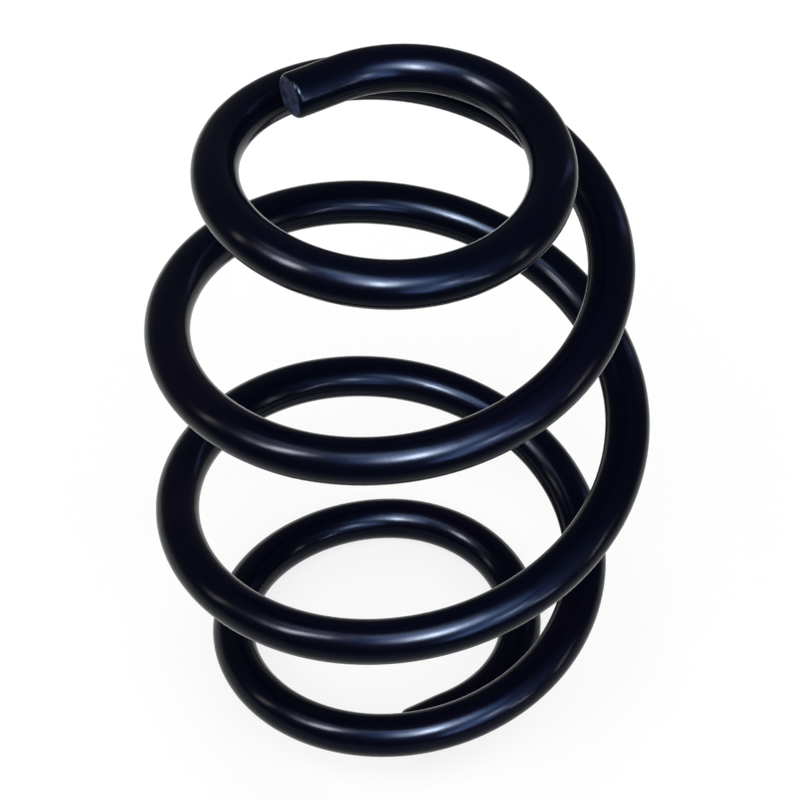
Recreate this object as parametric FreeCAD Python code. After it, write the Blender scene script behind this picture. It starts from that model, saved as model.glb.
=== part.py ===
import FreeCAD, Part

import math
import os

# Barrel-shaped compression spring of a truck brake chamber: one round steel bar, wound right-handed.
# Both end coils lie level and spiral in towards the axis, so that they nest in the turns beside them.
# Lengths are in millimetres. The axis of the coil is +Z, and the origin is the point of the axis
# in the plane that the bottom coil stands on. The bar is followed upwards from its bottom tip,
# and a place on it is given as the number of turns wound since that tip.

# Driving dimensions of the bar
bar_diameter = 13.6
tip_bevel = 1.5

# Driving dimensions of the winding, with every radius measured to the centre of the bar
total_turns = 4.62
barrel_radius = 70.6
shoulder_radius = 49.3
top_tip_radius = 37.5
bottom_tip_radius = 36.3
body_pitch = 61.3
middle_pitch = 85.2
middle_reach_turns = 0.8
bottom_tip_angle = -81.5

# Driving dimensions of the end coils, in turns
bottom_level_turns = 0.6
top_level_turns = 0.8
lift_turns = 0.3
bottom_spiral_turns = 0.48
top_spiral_turns = 0.84
straight_tip_turns = 0.06

# How finely the winding is followed
stations_per_turn = 30
steps_per_station = 8

# Derived sizes
bar_radius = bar_diameter / 2
station_count = round(total_turns * stations_per_turn)
station_turns = total_turns / station_count
middle_turn = (bottom_level_turns + total_turns - top_level_turns) / 2


def smooth_step(share):
    """Return 0 below a share of 0 and 1 above a share of 1, with an even S-curve between them."""
    share = min(max(share, 0.0), 1.0)
    return share * share * (3.0 - 2.0 * share)


def pitch_at(turn):
    """Return how fast the bar climbs, in millimetres a turn: nothing in the end coils, most in the middle."""
    lift_off = smooth_step(0.5 + (turn - bottom_level_turns) / lift_turns)
    touch_down = smooth_step(0.5 + (total_turns - top_level_turns - turn) / lift_turns)
    opening = smooth_step(1.0 - abs(turn - middle_turn) / middle_reach_turns)
    return (body_pitch + (middle_pitch - body_pitch) * opening) * lift_off * touch_down


def climb_heights():
    """Return how high the bar has climbed at each station, adding up its pitch in short steps."""
    step_turns = station_turns / steps_per_station
    climbed = 0.0
    heights = [climbed]
    for station in range(station_count):
        for step in range(steps_per_station):
            turn = station * station_turns + (step + 0.5) * step_turns
            climbed += pitch_at(turn) * step_turns
        heights.append(climbed)
    return heights


def coil_radius(turn, share_of_climb):
    """Return the coil's radius: a parabola over the height, drawn in to a tighter radius at each tip.

    The winding rollers leave the last bit at each tip straight, on the tangent of the curve behind it.
    """
    from_middle = 2.0 * share_of_climb - 1.0
    body = barrel_radius - (barrel_radius - shoulder_radius) * from_middle**2
    wound = min(max(turn, straight_tip_turns), total_turns - straight_tip_turns)
    at_bottom = smooth_step(1.0 - wound / bottom_spiral_turns)
    at_top = smooth_step(1.0 - (total_turns - wound) / top_spiral_turns)
    drawn_in = (shoulder_radius - bottom_tip_radius) * at_bottom + (shoulder_radius - top_tip_radius) * at_top
    return (body - drawn_in) / math.cos(2.0 * math.pi * (turn - wound))


def centre_line():
    """Return the points of the bar's centre line, from the bottom tip to the top one."""
    heights = climb_heights()
    points = []
    for station, height in enumerate(heights):
        turn = station * station_turns
        radius = coil_radius(turn, height / heights[-1])
        angle = math.radians(bottom_tip_angle + 360.0 * turn)
        across = FreeCAD.Vector(radius * math.cos(angle), radius * math.sin(angle), 0)
        points.append(across + FreeCAD.Vector(0, 0, bar_radius + height))
    return points


def bar_section(centre, along, radius):
    """Return the round edge of the bar's cross-section, which starts on the side away from the axis."""
    outward = FreeCAD.Vector(centre.x, centre.y, 0)
    circle = Part.Circle(centre, along, radius)
    circle.XAxis = (outward - along * outward.dot(along)).normalize()
    return circle.toShape()


def bevelled_tip(tip, neighbour):
    """Return the two sections of a sheared tip, its face first, then the full bar behind the bevel."""
    inward = (neighbour - tip).normalize()
    face = bar_section(tip, inward, bar_radius - tip_bevel)
    behind = bar_section(tip + inward * tip_bevel, inward, bar_radius)
    return [face, behind]


def make_spring():
    """Return the whole bar: straight bands from section to section, closed by a flat face at each tip."""
    points = centre_line()
    sections = bevelled_tip(points[0], points[1])
    for before, centre, after in zip(points, points[1:], points[2:]):
        sections.append(bar_section(centre, (after - before).normalize(), bar_radius))
    sections += reversed(bevelled_tip(points[-1], points[-2]))
    skin = [Part.makeRuledSurface(lower, upper) for lower, upper in zip(sections, sections[1:])]
    skin.append(Part.Face(Part.Wire(sections[0])))
    skin.append(Part.Face(Part.Wire(sections[-1])))
    return Part.Solid(Part.makeShell(skin))


os.makedirs("parts", exist_ok=True)
coil_spring = make_spring()
coil_spring.exportStep("parts/coil_spring.step")
print("bounds", coil_spring.BoundBox)
print("volume", round(coil_spring.Volume), "valid", coil_spring.isValid(), "faces", len(coil_spring.Faces))
print("centre of mass", coil_spring.CenterOfMass)
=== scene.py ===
"""A barrel-shaped coil spring of painted round bar, on a white studio floor."""

import math

import bpy
import numpy as np
from mathutils import Matrix, Vector


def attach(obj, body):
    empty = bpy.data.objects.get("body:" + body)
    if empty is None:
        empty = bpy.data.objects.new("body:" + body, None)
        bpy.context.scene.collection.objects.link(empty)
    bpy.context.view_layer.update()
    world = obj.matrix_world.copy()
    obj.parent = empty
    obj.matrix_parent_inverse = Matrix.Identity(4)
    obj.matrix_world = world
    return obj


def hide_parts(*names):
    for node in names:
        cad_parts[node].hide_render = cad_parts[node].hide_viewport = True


bl_info = {
    "name": "Barrel coil spring",
    "version": (1, 0, 0),
    "blender": (4, 5, 0),
    "location": "View3D > Sidebar > Coil spring",
    "description": "Winds a painted barrel spring with drawn-in ends and sets a studio around it",
    "category": "Object",
}

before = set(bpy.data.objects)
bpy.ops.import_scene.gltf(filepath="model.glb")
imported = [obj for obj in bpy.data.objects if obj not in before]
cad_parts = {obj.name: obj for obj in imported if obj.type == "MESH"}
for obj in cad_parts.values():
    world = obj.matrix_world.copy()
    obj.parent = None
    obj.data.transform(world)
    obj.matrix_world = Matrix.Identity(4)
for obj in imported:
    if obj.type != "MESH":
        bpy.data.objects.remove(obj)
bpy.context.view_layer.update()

MM = 0.001


def linear(hex_colour):
    """An sRGB hex colour as linear red, green, blue and alpha."""
    srgb = np.array([int(hex_colour[i : i + 2], 16) for i in (1, 3, 5)]) / 255.0
    curve = np.where(srgb <= 0.04045, srgb / 12.92, ((srgb + 0.055) / 1.055) ** 2.4)
    return (*(float(part) for part in curve), 1.0)


class CoilSizes(bpy.types.PropertyGroup):
    """What the spring is wound to. Angles and turns are counted from the bottom tip."""

    bar_diameter: bpy.props.FloatProperty(
        name="Bar diameter",
        description="Thickness of the round bar over its paint",
        default=13.6 * MM,
        subtype="DISTANCE",
        unit="LENGTH",
        precision=4,
    )
    tip_rounding: bpy.props.FloatProperty(
        name="Tip rounding",
        description="Radius that softens the edge of each cut end",
        default=1.9 * MM,
        subtype="DISTANCE",
        unit="LENGTH",
        precision=4,
    )
    total_turns: bpy.props.FloatProperty(
        name="Total turns",
        description="Turns of bar from the bottom tip to the top tip",
        default=4.62,
    )
    barrel_radius: bpy.props.FloatProperty(
        name="Barrel radius",
        description="Coil axis to the middle of the bar at half the height",
        default=70.6 * MM,
        subtype="DISTANCE",
        unit="LENGTH",
        precision=4,
    )
    shoulder_radius: bpy.props.FloatProperty(
        name="Shoulder radius",
        description="The same distance where the end coils begin",
        default=49.3 * MM,
        subtype="DISTANCE",
        unit="LENGTH",
        precision=4,
    )
    top_tip_radius: bpy.props.FloatProperty(
        name="Top tip radius",
        description="The same distance at the top tip, which is drawn in",
        default=37.5 * MM,
        subtype="DISTANCE",
        unit="LENGTH",
        precision=4,
    )
    bottom_tip_radius: bpy.props.FloatProperty(
        name="Bottom tip radius",
        description="The same distance at the bottom tip",
        default=36.3 * MM,
        subtype="DISTANCE",
        unit="LENGTH",
        precision=4,
    )
    body_pitch: bpy.props.FloatProperty(
        name="Body pitch",
        description="Climb in one turn beside the end coils",
        default=61.3 * MM,
        subtype="DISTANCE",
        unit="LENGTH",
        precision=4,
    )
    middle_pitch: bpy.props.FloatProperty(
        name="Middle pitch",
        description="Climb in one turn at the widest turn",
        default=85.2 * MM,
        subtype="DISTANCE",
        unit="LENGTH",
        precision=4,
    )
    middle_reach: bpy.props.FloatProperty(
        name="Middle reach",
        description="Turns over which the middle pitch falls back to the body pitch",
        default=0.8,
    )
    bottom_tip_angle: bpy.props.FloatProperty(
        name="Bottom tip angle",
        description="Direction of the bottom tip, from +X towards +Y",
        default=math.radians(-81.5),
        subtype="ANGLE",
        unit="ROTATION",
    )
    bottom_level: bpy.props.FloatProperty(
        name="Bottom level turns",
        description="Turns that lie flat at the bottom",
        default=0.6,
    )
    top_level: bpy.props.FloatProperty(
        name="Top level turns",
        description="Turns that lie flat at the top",
        default=0.8,
    )
    lift: bpy.props.FloatProperty(
        name="Lift",
        description="Turns in which the bar leaves the flat and takes its pitch",
        default=0.3,
    )
    bottom_spiral: bpy.props.FloatProperty(
        name="Bottom spiral",
        description="Turns in which the bottom coil is drawn in to its tip",
        default=0.48,
    )
    top_spiral: bpy.props.FloatProperty(
        name="Top spiral",
        description="Turns in which the top coil is drawn in to its tip",
        default=0.84,
    )
    straight_tip: bpy.props.FloatProperty(
        name="Straight tip turns",
        description="Turns at each tip that were left straight by the winding",
        default=0.06,
    )
    trim: bpy.props.FloatProperty(
        name="Trim",
        description="Taken off the coil's radius, so that the smooth bar stays inside the flat-sided solid",
        default=0.34 * MM,
        subtype="DISTANCE",
        unit="LENGTH",
        precision=5,
    )
    skin: bpy.props.FloatProperty(
        name="Skin",
        description="Taken off the bar's radius for the same reason",
        default=0.03 * MM,
        subtype="DISTANCE",
        unit="LENGTH",
        precision=5,
    )
    unevenness: bpy.props.FloatProperty(
        name="Unevenness",
        description="Height of the shallow waves that hot winding leaves along the bar",
        default=0.02 * MM,
        subtype="DISTANCE",
        unit="LENGTH",
        precision=5,
    )
    stations: bpy.props.IntProperty(
        name="Stations in a turn",
        description="Sections of the bar in each turn",
        default=128,
    )
    points_around: bpy.props.IntProperty(
        name="Points around",
        description="Points around each section",
        default=56,
    )


class FinishColours(bpy.types.PropertyGroup):
    """Paint and studio colours."""

    enamel: bpy.props.FloatVectorProperty(
        name="Enamel",
        description="Blue-black gloss enamel",
        default=linear("#030410"),
        subtype="COLOR",
        size=4,
        min=0.0,
        max=1.0,
    )
    enamel_violet: bpy.props.FloatVectorProperty(
        name="Enamel, violet cast",
        description="The same enamel where it lies a little thicker",
        default=linear("#070413"),
        subtype="COLOR",
        size=4,
        min=0.0,
        max=1.0,
    )
    gloss_tint: bpy.props.FloatVectorProperty(
        name="Gloss tint",
        description="Steel-blue cast of what the enamel mirrors",
        default=linear("#BCDCFF"),
        subtype="COLOR",
        size=4,
        min=0.0,
        max=1.0,
    )
    cut_end: bpy.props.FloatVectorProperty(
        name="Cut end",
        description="Thin dull paint on the sheared faces of the bar",
        default=linear("#383E58"),
        subtype="COLOR",
        size=4,
        min=0.0,
        max=1.0,
    )
    cut_hollows: bpy.props.FloatVectorProperty(
        name="Cut end, hollows",
        description="The same paint in the hollows that the shear tore",
        default=linear("#181C2E"),
        subtype="COLOR",
        size=4,
        min=0.0,
        max=1.0,
    )
    # White at the middle of the painted pool of light on the paper
    paper: bpy.props.FloatVectorProperty(
        name="Paper",
        description="Studio paper around the spring",
        default=linear("#FFFFFF"),
        subtype="COLOR",
        size=4,
        min=0.0,
        max=1.0,
    )
    # Painted falloff of light: the paper's grey away from the spring; the same grey is also the room's colour
    room_grey_and_painted_falloff: bpy.props.FloatVectorProperty(
        name="Paper, far",
        description="The paper's grey away from the spring, and the room's",
        default=linear("#7C7C7C"),
        subtype="COLOR",
        size=4,
        min=0.0,
        max=1.0,
    )


# The bar's shape

# How finely a law is summed or the middle line is measured, in samples over the whole bar
CLIMB_SAMPLES = 16001
SPINE_SAMPLES = 12001
# Rings on a flat cut face, as shares of its radius, and rings in the rounding of its edge
FACE_RINGS = np.array([0.35, 0.7, 0.96])
ROUNDING_RINGS = 11
# How far the cut face's paint reaches into the rounding, as a share of its radius
CUT_REACH = 0.35
# Waves along the bar: length, share of the height, lobes around the bar, and start in radians
WINDING_WAVES = ((43.0 * MM, 1.0, 1, 0.8), (27.0 * MM, 0.8, -2, 2.1), (16.0 * MM, 0.5, 3, 0.0))
# The waves die out over this length at each tip
WAVE_FADE = 8.0 * MM


def smooth_step(share):
    """Three times the square less twice the cube of a share held between 0 and 1."""
    share = np.clip(share, 0.0, 1.0)
    return share * share * (3.0 - 2.0 * share)


def climb(sizes, turns):
    """Height of the bar's middle above its place at the bottom tip.

    The pitch is zero over the level turns, takes the body pitch within the lift, and rises
    to the middle pitch half way up; the height is the pitch summed over the turns."""
    fine = np.linspace(0.0, sizes.total_turns, CLIMB_SAMPLES)
    top_start = sizes.total_turns - sizes.top_level
    middle = (sizes.bottom_level + top_start) / 2.0
    swell = smooth_step(1.0 - np.abs(fine - middle) / sizes.middle_reach)
    pitch = sizes.body_pitch + (sizes.middle_pitch - sizes.body_pitch) * swell
    pitch *= smooth_step(0.5 + (fine - sizes.bottom_level) / sizes.lift)
    pitch *= smooth_step(0.5 + (top_start - fine) / sizes.lift)
    steps = (pitch[1:] + pitch[:-1]) / 2.0 * np.diff(fine)
    return np.interp(turns, fine, np.concatenate([[0.0], np.cumsum(steps)]))


def centre_line(sizes, turns):
    """The bar's middle as rows of x, y and z, for an array of turns.

    The radius is the barrel's less the square of the share of the height from the middle,
    less what the end spirals draw in. A tip's last turns run straight, so there the radius
    is the one before them over the cosine of the angle passed since."""
    height = climb(sizes, turns)
    full = climb(sizes, sizes.total_turns)
    from_middle = 2.0 * height / full - 1.0
    fall = sizes.barrel_radius - sizes.shoulder_radius
    body = sizes.barrel_radius - fall * from_middle**2
    wound = np.clip(turns, sizes.straight_tip, sizes.total_turns - sizes.straight_tip)
    at_bottom = smooth_step(1.0 - wound / sizes.bottom_spiral)
    at_top = smooth_step(1.0 - (sizes.total_turns - wound) / sizes.top_spiral)
    drawn_in = (sizes.shoulder_radius - sizes.bottom_tip_radius) * at_bottom
    drawn_in += (sizes.shoulder_radius - sizes.top_tip_radius) * at_top
    curved = body - drawn_in - sizes.trim
    radius = curved / np.cos(2.0 * np.pi * (turns - wound))
    angle = sizes.bottom_tip_angle + 2.0 * np.pi * turns
    level = sizes.bar_diameter / 2.0 + height
    return np.stack([radius * np.cos(angle), radius * np.sin(angle), level], axis=1)


def unit(rows):
    """Each row scaled to a length of one."""
    return rows / np.linalg.norm(rows, axis=1, keepdims=True)


def ring_places(sizes, length):
    """How far along the bar each ring stands and how wide it is.

    From a tip, rings inside the flat face come first, then a quarter circle of the
    rounding's radius, then even steps; the other tip is the same mirrored."""
    bar_radius = sizes.bar_diameter / 2.0 - sizes.skin
    rounding = sizes.tip_rounding
    face = bar_radius - rounding
    quarter = np.radians(np.linspace(0.0, 90.0, ROUNDING_RINGS))
    start_along = np.concatenate([np.zeros(len(FACE_RINGS)), rounding * (1.0 - np.cos(quarter))])
    start_wide = np.concatenate([face * FACE_RINGS, face + rounding * np.sin(quarter)])
    count = round(sizes.total_turns * sizes.stations)
    middle = np.linspace(rounding, length - rounding, count + 1)[1:-1]
    along = np.concatenate([start_along, middle, length - start_along[::-1]])
    wide = np.concatenate([start_wide, np.full(len(middle), bar_radius), start_wide[::-1]])
    return along, wide


def bar_surface(sizes):
    """The skin of the whole bar, as points, faces and each point's share of cut face.

    A ring's points stand at the bar's middle plus its width times the cosine of their
    angle outwards from the coil and the sine of it upwards. The width is lowered by the
    unevenness times one less the waves' share of their highest sum, which fades out at
    the tips. Rings are joined by squares, and each flat end is closed by triangles to a
    point in its middle."""
    fine = np.linspace(0.0, sizes.total_turns, SPINE_SAMPLES)
    spine = centre_line(sizes, fine)
    travelled = np.concatenate([[0.0], np.cumsum(np.linalg.norm(np.diff(spine, axis=0), axis=1))])
    along, wide = ring_places(sizes, travelled[-1])
    turns = np.interp(along, travelled, fine)
    middle = centre_line(sizes, turns)
    slope = np.stack([np.gradient(spine[:, axis], travelled) for axis in range(3)], axis=1)
    forward = unit(np.stack([np.interp(along, travelled, slope[:, axis]) for axis in range(3)], axis=1))
    outward = middle * np.array([1.0, 1.0, 0.0])
    outward = unit(outward - np.sum(outward * forward, axis=1, keepdims=True) * forward)
    upward = np.cross(forward, outward)

    around = 2.0 * np.pi * np.arange(sizes.points_around) / sizes.points_around
    from_tip = np.minimum(along, travelled[-1] - along)
    wave = sum(
        share * np.sin(2.0 * np.pi * along[:, None] / length + lobes * around + start)
        for length, share, lobes, start in WINDING_WAVES
    )
    highest = sum(share for _, share, _, _ in WINDING_WAVES)
    held = smooth_step(from_tip / WAVE_FADE)
    width = wide[:, None] + sizes.unevenness * (wave / highest - 1.0) * held[:, None]
    points = middle[:, None] + width[:, :, None] * (
        np.cos(around)[None, :, None] * outward[:, None] + np.sin(around)[None, :, None] * upward[:, None]
    )

    rings, each = width.shape
    step = np.arange(each)
    following = (step + 1) % each
    ring_start = each * np.arange(rings - 1)[:, None]
    here, beside = ring_start + step, ring_start + following
    squares = np.stack([here, beside, beside + each, here + each], axis=-1).reshape(-1, 4)
    first_pole, last_pole = rings * each, rings * each + 1
    last_ring = (rings - 1) * each
    start_fan = np.stack([np.full(each, first_pole), following, step], axis=1)
    end_fan = np.stack([np.full(each, last_pole), last_ring + step, last_ring + following], axis=1)
    vertices = np.concatenate([points.reshape(-1, 3), middle[:1], middle[-1:]])

    cut_share = 1.0 - smooth_step(from_tip / (CUT_REACH * sizes.tip_rounding))
    on_face = np.concatenate([np.repeat(cut_share, each), [1.0, 1.0]])
    return vertices, [squares, np.concatenate([start_fan, end_fan])], on_face


def mesh_of(name, vertices, face_groups):
    """A smooth-shaded mesh object at the origin from an array of points and arrays of faces."""
    faces = [group.ravel() for group in face_groups]
    sides = np.concatenate([np.full(len(group), group.shape[1]) for group in face_groups])
    corners = np.concatenate(faces)
    mesh = bpy.data.meshes.new(name)
    mesh.vertices.add(len(vertices))
    mesh.vertices.foreach_set("co", vertices.astype(np.float32).ravel())
    mesh.loops.add(len(corners))
    mesh.loops.foreach_set("vertex_index", corners.astype(np.int32))
    mesh.polygons.add(len(sides))
    mesh.polygons.foreach_set("loop_start", np.concatenate([[0], np.cumsum(sides)[:-1]]).astype(np.int32))
    mesh.polygons.foreach_set("use_smooth", np.ones(len(sides), dtype=bool))
    mesh.update(calc_edges=True)
    mesh.validate()
    made = bpy.data.objects.new(name, mesh)
    bpy.context.scene.collection.objects.link(made)
    return made


# Finishes

# Sizes of the enamel's patterns, the noise over which they come in, and bump heights
PATCH_SIZE = 60.0 * MM
PATCH_START = 0.52
PATCH_FULL = 0.68
TEAR_SIZE = 4.0 * MM
TEAR_START = 0.42
TEAR_FULL = 0.62
SWAY_LENGTH = 14.0 * MM
SWAY_HEIGHT = 0.28 * MM
DIMPLE_SIZE = 2.4 * MM
DIMPLE_HEIGHT = 0.02 * MM
# The enamel bends light as paints do, and mirrors less than most, as the photograph shows
ENAMEL_IOR = 1.5
ENAMEL_MIRRORING = 0.08
# How rough the enamel is along the bar and on the cut faces
ENAMEL_ROUGHNESS = 0.19
CUT_ROUGHNESS = 0.5
# The paper is white up to one distance from this point of the floor and grey past another: a painted pool of
# light around the spring, with painted falloff to grey away from it
PAINTED_POOL_MIDDLE = (0.0, 140.0 * MM, 0.0)
PAINTED_POOL_REACH = 250.0 * MM
PAINTED_FALLOFF_REACH = 700.0 * MM
# Share of the paper's colour that needs no light, for rays that show the background
EVEN_SHARE = 0.8


def add_node(tree, kind, inputs=None, **settings):
    """Adds a node with its settings; an input is given a value, or a socket to be linked from."""
    node = tree.nodes.new(kind)
    for name, value in settings.items():
        setattr(node, name, value)
    for name, value in (inputs or {}).items():
        if isinstance(value, bpy.types.NodeSocket):
            tree.links.new(value, node.inputs[name])
        else:
            node.inputs[name].default_value = value
    return node


def empty_material(name):
    """A named material with nodes and nothing in it yet."""
    material = bpy.data.materials.new(name)
    material.use_nodes = True
    material.node_tree.nodes.clear()
    return material


def gloss_enamel(colours):
    """Blue-black gloss enamel, sprayed on hot-wound and shot-peened spring steel.

    The enamel flows out over the peened bar, so the eye gets long soft highlights that
    waver a little, with the peening only just felt. It is thin and dull on the cut ends."""
    material = empty_material("gloss_enamel_on_spring_steel")
    tree = material.node_tree
    place = add_node(tree, "ShaderNodeTexCoord").outputs["Object"]

    # Spray lies thicker in some patches, which take a faint violet cast.
    patches = add_node(
        tree,
        "ShaderNodeTexNoise",
        {"Vector": place, "Scale": 1.0 / PATCH_SIZE, "Detail": 1.0, "Roughness": 0.4},
    )
    patch_share = add_node(
        tree,
        "ShaderNodeMapRange",
        {"Value": patches.outputs["Fac"], "From Min": PATCH_START, "From Max": PATCH_FULL},
        interpolation_type="SMOOTHSTEP",
    )
    enamel = add_node(
        tree,
        "ShaderNodeMix",
        {0: patch_share.outputs["Result"], 6: colours.enamel, 7: colours.enamel_violet},
        data_type="RGBA",
    )
    cut_share = add_node(tree, "ShaderNodeAttribute", attribute_name="cut_face").outputs["Fac"]

    # The shear tore the faces in coarse grains, and the paint is darker in the hollows.
    tears = add_node(
        tree,
        "ShaderNodeTexNoise",
        {"Vector": place, "Scale": 1.0 / TEAR_SIZE, "Detail": 3.0, "Roughness": 0.6},
    )
    hollow_share = add_node(
        tree,
        "ShaderNodeMapRange",
        {"Value": tears.outputs["Fac"], "From Min": TEAR_START, "From Max": TEAR_FULL},
        interpolation_type="SMOOTHSTEP",
    )
    cut_paint = add_node(
        tree,
        "ShaderNodeMix",
        {0: hollow_share.outputs["Result"], 6: colours.cut_end, 7: colours.cut_hollows},
        data_type="RGBA",
    )
    colour = add_node(
        tree, "ShaderNodeMix", {0: cut_share, 6: enamel.outputs[2], 7: cut_paint.outputs[2]}, data_type="RGBA"
    )
    dullness = add_node(
        tree, "ShaderNodeMapRange", {"Value": cut_share, "To Min": ENAMEL_ROUGHNESS, "To Max": CUT_ROUGHNESS}
    )

    # Waves in the paint sway the highlights. Peening dimples of about 1.2 mm are nearly
    # filled by the paint, and are drawn twice as coarse so that they show at all.
    sway = add_node(
        tree,
        "ShaderNodeTexNoise",
        {"Vector": place, "Scale": 1.0 / SWAY_LENGTH, "Detail": 1.0, "Roughness": 0.4},
    )
    dimples = add_node(
        tree,
        "ShaderNodeTexNoise",
        {"Vector": place, "Scale": 1.0 / DIMPLE_SIZE, "Detail": 2.0, "Roughness": 0.5},
    )
    swayed = add_node(
        tree, "ShaderNodeBump", {"Height": sway.outputs["Fac"], "Strength": 1.0, "Distance": SWAY_HEIGHT}
    )
    dimpled = add_node(
        tree,
        "ShaderNodeBump",
        {
            "Height": dimples.outputs["Fac"],
            "Strength": 1.0,
            "Distance": DIMPLE_HEIGHT,
            "Normal": swayed.outputs["Normal"],
        },
    )
    shader = add_node(
        tree,
        "ShaderNodeBsdfPrincipled",
        {
            "Base Color": colour.outputs[2],
            "Roughness": dullness.outputs["Result"],
            "IOR": ENAMEL_IOR,
            "Specular IOR Level": ENAMEL_MIRRORING,
            "Specular Tint": colours.gloss_tint,
            "Normal": dimpled.outputs["Normal"],
        },
    )
    add_node(tree, "ShaderNodeOutputMaterial", {"Surface": shader.outputs["BSDF"]})
    return material


def lay_paper_with_painted_pool(colours):
    """Matt paper with a painted pool of light: white around the spring and painted darker, greying away from
    it. It keeps soft shadows.

    For the camera, and in what gloss and glass show of it, four fifths of its colour is
    even and one fifth is lit, so it is white without more light on the spring."""
    material = empty_material("matt_paper_painted_light_pool")
    tree = material.node_tree
    place = add_node(tree, "ShaderNodeTexCoord").outputs["Object"]
    off_middle = add_node(tree, "ShaderNodeVectorMath", {0: place, 1: PAINTED_POOL_MIDDLE}, operation="SUBTRACT")
    away = add_node(tree, "ShaderNodeVectorMath", {0: off_middle.outputs[0]}, operation="LENGTH")
    # Painted light: the paper is painted darker with distance from the spring, falling off to grey
    painted_falloff_share = add_node(
        tree,
        "ShaderNodeMapRange",
        {"Value": away.outputs["Value"], "From Min": PAINTED_POOL_REACH, "From Max": PAINTED_FALLOFF_REACH},
        interpolation_type="SMOOTHSTEP",
    )
    colour = add_node(
        tree,
        "ShaderNodeMix",
        {0: painted_falloff_share.outputs["Result"], 6: colours.paper, 7: colours.room_grey_and_painted_falloff},
        data_type="RGBA",
    ).outputs[2]
    lit = add_node(tree, "ShaderNodeBsdfDiffuse", {"Color": colour})
    even = add_node(tree, "ShaderNodeEmission", {"Color": colour, "Strength": 1.0})
    ray = add_node(tree, "ShaderNodeLightPath").outputs
    seen = add_node(
        tree, "ShaderNodeMath", {0: ray["Is Camera Ray"], 1: ray["Is Glossy Ray"]}, operation="MAXIMUM"
    )
    seen = add_node(
        tree, "ShaderNodeMath", {0: seen.outputs[0], 1: ray["Is Transmission Ray"]}, operation="MAXIMUM"
    )
    share = add_node(tree, "ShaderNodeMath", {0: seen.outputs[0], 1: EVEN_SHARE}, operation="MULTIPLY")
    paper = add_node(
        tree,
        "ShaderNodeMixShader",
        {0: share.outputs[0], 1: lit.outputs["BSDF"], 2: even.outputs["Emission"]},
    )
    add_node(tree, "ShaderNodeOutputMaterial", {"Surface": paper.outputs["Shader"]})
    return material


# The studio

# Each lamp: azimuth from the camera's side towards +X and elevation, in degrees; distance
# in metres; width and height as seen from the spring, in degrees; turn about its own
# middle, in degrees; brightness of its middle, on about the scale on which white paper
# at the plain level has 1; colour.
# The soft boxes light colours at the plain level, and the gloss doesn't mirror them.
SOFT_BOXES = {
    "soft_high": (-20.0, 58.0, 1.9, 50.0, 40.0, 0.0, 3.9, "#FFFFFF"),
    "soft_right": (70.0, 45.0, 1.9, 50.0, 50.0, 0.0, 1.3, "#FFFFFF"),
    "soft_back": (190.0, 50.0, 1.9, 50.0, 40.0, 0.0, 1.4, "#FFFFFF"),
}
# The windows of the room are only mirrored in the gloss, and add no light to colours.
WINDOWS = {
    "high_core": (-5.0, 48.0, 1.9, 15.0, 25.0, 0.0, 315.0, "#FFEADB"),
    "high_window": (-6.0, 52.0, 1.9, 38.0, 38.0, 0.0, 90.0, "#FFEDDC"),
    "high_glow": (-4.0, 55.0, 1.9, 72.0, 60.0, 0.0, 13.5, "#3078FF"),
    "upper_left": (-32.0, 68.0, 1.9, 48.0, 32.0, 0.0, 22.5, "#F5F5FF"),
    "right_glow": (18.0, 52.0, 1.9, 40.0, 40.0, 0.0, 12.0, "#ECFFF0"),
    "left_core": (-65.0, 41.0, 1.9, 16.0, 27.0, 0.0, 180.0, "#FFE0D2"),
    "left_window": (-70.0, 42.0, 1.9, 36.0, 36.0, 15.0, 9.0, "#FFDDDC"),
    "left_upper": (-88.0, 56.0, 1.9, 32.0, 18.0, 0.0, 12.0, "#FFE5F0"),
    "low_window": (28.0, 22.0, 1.9, 48.0, 48.0, 0.0, 19.5, "#BED0FF"),
    "low_spot": (33.0, 25.0, 1.9, 14.0, 16.0, 0.0, 75.0, "#FFE6CC"),
    "low_left": (17.0, 12.0, 1.9, 22.0, 20.0, 0.0, 21.0, "#BECAFF"),
    "door_edge": (47.0, 8.0, 1.9, 4.0, 36.0, 32.0, 75.0, "#FFE8F0"),
    "warm_strip": (74.0, 5.0, 1.9, 4.0, 40.0, -20.0, 42.0, "#FFE0C8"),
    "left_strip": (-90.0, 20.0, 1.9, 6.0, 32.0, 20.0, 30.0, "#FFDCC0"),
    "violet_strip": (132.0, 18.0, 1.9, 7.0, 60.0, 0.0, 4.5, "#BEB4FF"),
    "blue_right": (48.0, 28.0, 1.9, 68.0, 68.0, 0.0, 2.7, "#B5B8FF"),
}
LAMP_AIM = Vector((0.0, 0.0, 115.0 * MM))
FLOOR_HALF_WIDTH = 6.0

# The camera looks down at a point of the coil's axis, from a distance, at a tilt below the
# horizon, with a roll, and then stands a little off to the side and down.
CAMERA_AIM_HEIGHT = 159.0 * MM
CAMERA_DISTANCE = 874.7 * MM
CAMERA_TILT = math.radians(48.576)
CAMERA_ROLL = math.radians(-0.892)
CAMERA_OFF_RIGHT = 0.89 * MM
CAMERA_OFF_UP = -23.59 * MM
CAMERA_LENS = 134.66
CAMERA_SENSOR_WIDTH = 36.0
CAMERA_NEAREST = 50.0 * MM
CAMERA_FARTHEST = 20.0


def towards(azimuth, elevation):
    """The direction at an azimuth from -Y towards +X and an elevation, both in degrees."""
    round_by, up_by = math.radians(azimuth), math.radians(elevation)
    level = math.cos(up_by)
    return Vector((math.sin(round_by) * level, -math.cos(round_by) * level, math.sin(up_by)))


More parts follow.
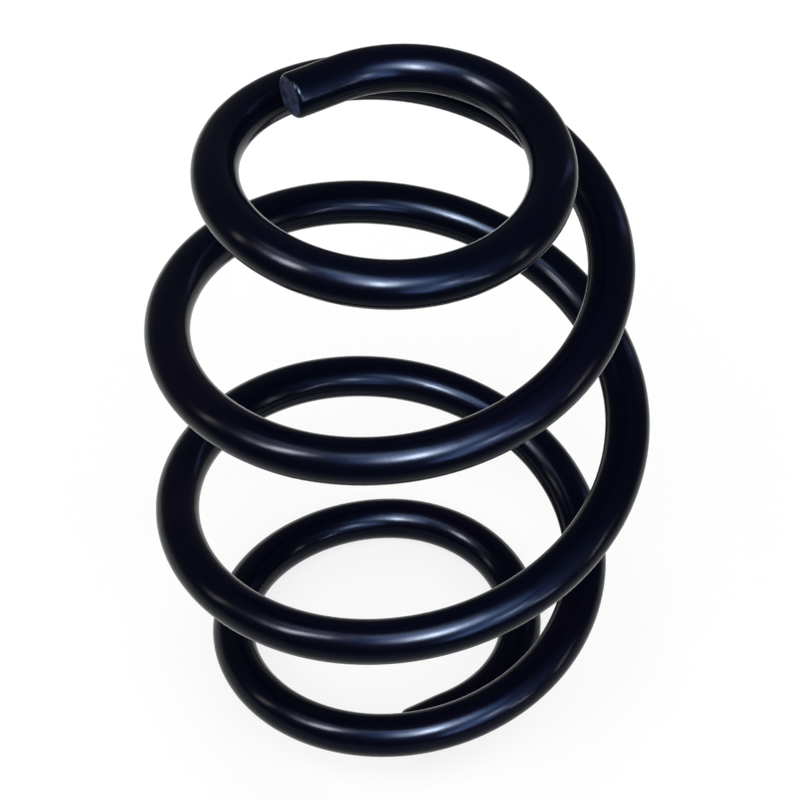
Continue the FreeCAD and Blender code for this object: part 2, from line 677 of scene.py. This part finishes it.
def fade_to_rim(lamp):
    """Makes the lamp brightest in its middle and dark at the rim of the oval that it holds."""
    lamp.use_nodes = True
    tree = lamp.node_tree
    tree.nodes.clear()
    place = add_node(tree, "ShaderNodeNewGeometry").outputs["Parametric"]
    off_middle = add_node(
        tree,
        "ShaderNodeVectorMath",
        {0: place, 1: (2.0, 2.0, 0.0), 2: (-1.0, -1.0, 0.0)},
        operation="MULTIPLY_ADD",
    )
    away = add_node(tree, "ShaderNodeVectorMath", {0: off_middle.outputs[0]}, operation="LENGTH")
    glow = add_node(
        tree,
        "ShaderNodeMapRange",
        {"Value": away.outputs["Value"], "From Min": 1.0, "From Max": 0.0},
        interpolation_type="SMOOTHSTEP",
    )
    light = add_node(tree, "ShaderNodeEmission", {"Strength": glow.outputs["Result"]})
    add_node(tree, "ShaderNodeOutputLight", {"Surface": light.outputs["Emission"]})


def hang_lamp(name, azimuth, elevation, distance, wide, high, turn, brightness, colour, in_gloss):
    """A flat lamp that faces the spring; its watts are brightness times pi times its area."""
    lamp = bpy.data.lights.new(name, "AREA")
    lamp.shape = "RECTANGLE"
    lamp.size = 2.0 * distance * math.tan(math.radians(wide / 2.0))
    lamp.size_y = 2.0 * distance * math.tan(math.radians(high / 2.0))
    lamp.energy = brightness * math.pi * lamp.size * lamp.size_y
    lamp.color = linear(colour)[:3]
    if in_gloss:
        fade_to_rim(lamp)
    away = towards(azimuth, elevation)
    hung = bpy.data.objects.new(name, lamp)
    facing = away.to_track_quat("Z", "Y") @ Matrix.Rotation(math.radians(turn), 3, "Z").to_quaternion()
    hung.matrix_world = Matrix.Translation(LAMP_AIM + away * distance) @ facing.to_matrix().to_4x4()
    hung.visible_camera = False
    hung.visible_glossy = in_gloss
    hung.visible_diffuse = not in_gloss
    bpy.context.scene.collection.objects.link(hung)


def place_camera():
    """The photograph's view: the sight line falls by the tilt, and the frame turns by the roll."""
    forward = Vector((0.0, math.cos(CAMERA_TILT), -math.sin(CAMERA_TILT)))
    level_up = Vector((0.0, math.sin(CAMERA_TILT), math.cos(CAMERA_TILT)))
    level_right = Vector((1.0, 0.0, 0.0))
    right = math.cos(CAMERA_ROLL) * level_right - math.sin(CAMERA_ROLL) * level_up
    up = math.sin(CAMERA_ROLL) * level_right + math.cos(CAMERA_ROLL) * level_up
    eye = Vector((0.0, 0.0, CAMERA_AIM_HEIGHT)) - CAMERA_DISTANCE * forward
    eye += CAMERA_OFF_RIGHT * right + CAMERA_OFF_UP * up
    camera = bpy.data.objects.new("camera", bpy.data.cameras.new("camera"))
    camera.data.sensor_width = CAMERA_SENSOR_WIDTH
    camera.data.lens = CAMERA_LENS
    camera.data.clip_start = CAMERA_NEAREST
    camera.data.clip_end = CAMERA_FARTHEST
    turned = Matrix((right, up, -forward)).transposed().to_4x4()
    camera.matrix_world = Matrix.Translation(eye) @ turned
    bpy.context.scene.collection.objects.link(camera)
    bpy.context.scene.camera = camera


class COILSPRING_OT_wind_bar(bpy.types.Operator):
    """Wind the painted bar that stands for the solid coil"""

    bl_idname = "coilspring.wind_bar"
    bl_label = "Wind the bar"

    def execute(self, context):
        vertices, faces, on_face = bar_surface(context.scene.coil_sizes)
        bar = mesh_of("painted_bar", vertices, faces)
        share = bar.data.attributes.new("cut_face", "FLOAT", "POINT")
        share.data.foreach_set("value", on_face.astype(np.float32))
        bar.data.materials.append(gloss_enamel(context.scene.coil_colours))
        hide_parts("coil_spring")
        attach(bar, "root")
        return {"FINISHED"}


class COILSPRING_OT_set_stage(bpy.types.Operator):
    """Lay the paper, hang the lamps and place the camera"""

    bl_idname = "coilspring.set_stage"
    bl_label = "Set the stage"

    def execute(self, context):
        colours = context.scene.coil_colours
        half = FLOOR_HALF_WIDTH
        corners = np.array([[-half, -half, 0.0], [half, -half, 0.0], [half, half, 0.0], [-half, half, 0.0]])
        floor = mesh_of("paper_floor", corners, [np.array([[0, 1, 2, 3]])])
        floor.data.materials.append(lay_paper_with_painted_pool(colours))
        for name, facts in SOFT_BOXES.items():
            hang_lamp(name, *facts, in_gloss=False)
        for name, facts in WINDOWS.items():
            hang_lamp(name, *facts, in_gloss=True)
        world = bpy.data.worlds.new("room")
        world.use_nodes = True
        room = world.node_tree.nodes["Background"]
        room.inputs["Color"].default_value = colours.room_grey_and_painted_falloff
        room.inputs["Strength"].default_value = 1.0
        context.scene.world = world
        context.scene.view_settings.view_transform = "Standard"
        place_camera()
        return {"FINISHED"}


class COILSPRING_PT_sidebar(bpy.types.Panel):
    """Sizes, colours and steps of the coil spring"""

    bl_idname = "COILSPRING_PT_sidebar"
    bl_label = "Coil spring"
    bl_space_type = "VIEW_3D"
    bl_region_type = "UI"
    bl_category = "Coil spring"

    def draw(self, context):
        for group in (context.scene.coil_sizes, context.scene.coil_colours):
            box = self.layout.box()
            for name in group.__annotations__:
                box.prop(group, name)
        for step in STEPS:
            self.layout.operator(step.bl_idname)


STEPS = (COILSPRING_OT_wind_bar, COILSPRING_OT_set_stage)
CLASSES = (CoilSizes, FinishColours, *STEPS, COILSPRING_PT_sidebar)


def register():
    for each in CLASSES:
        bpy.utils.register_class(each)
    bpy.types.Scene.coil_sizes = bpy.props.PointerProperty(type=CoilSizes)
    bpy.types.Scene.coil_colours = bpy.props.PointerProperty(type=FinishColours)


def unregister():
    del bpy.types.Scene.coil_colours
    del bpy.types.Scene.coil_sizes
    for each in reversed(CLASSES):
        bpy.utils.unregister_class(each)


def main():
    """Makes every piece in order."""
    register()
    bpy.ops.coilspring.wind_bar()
    bpy.ops.coilspring.set_stage()


if __name__ == "__main__":
    main()
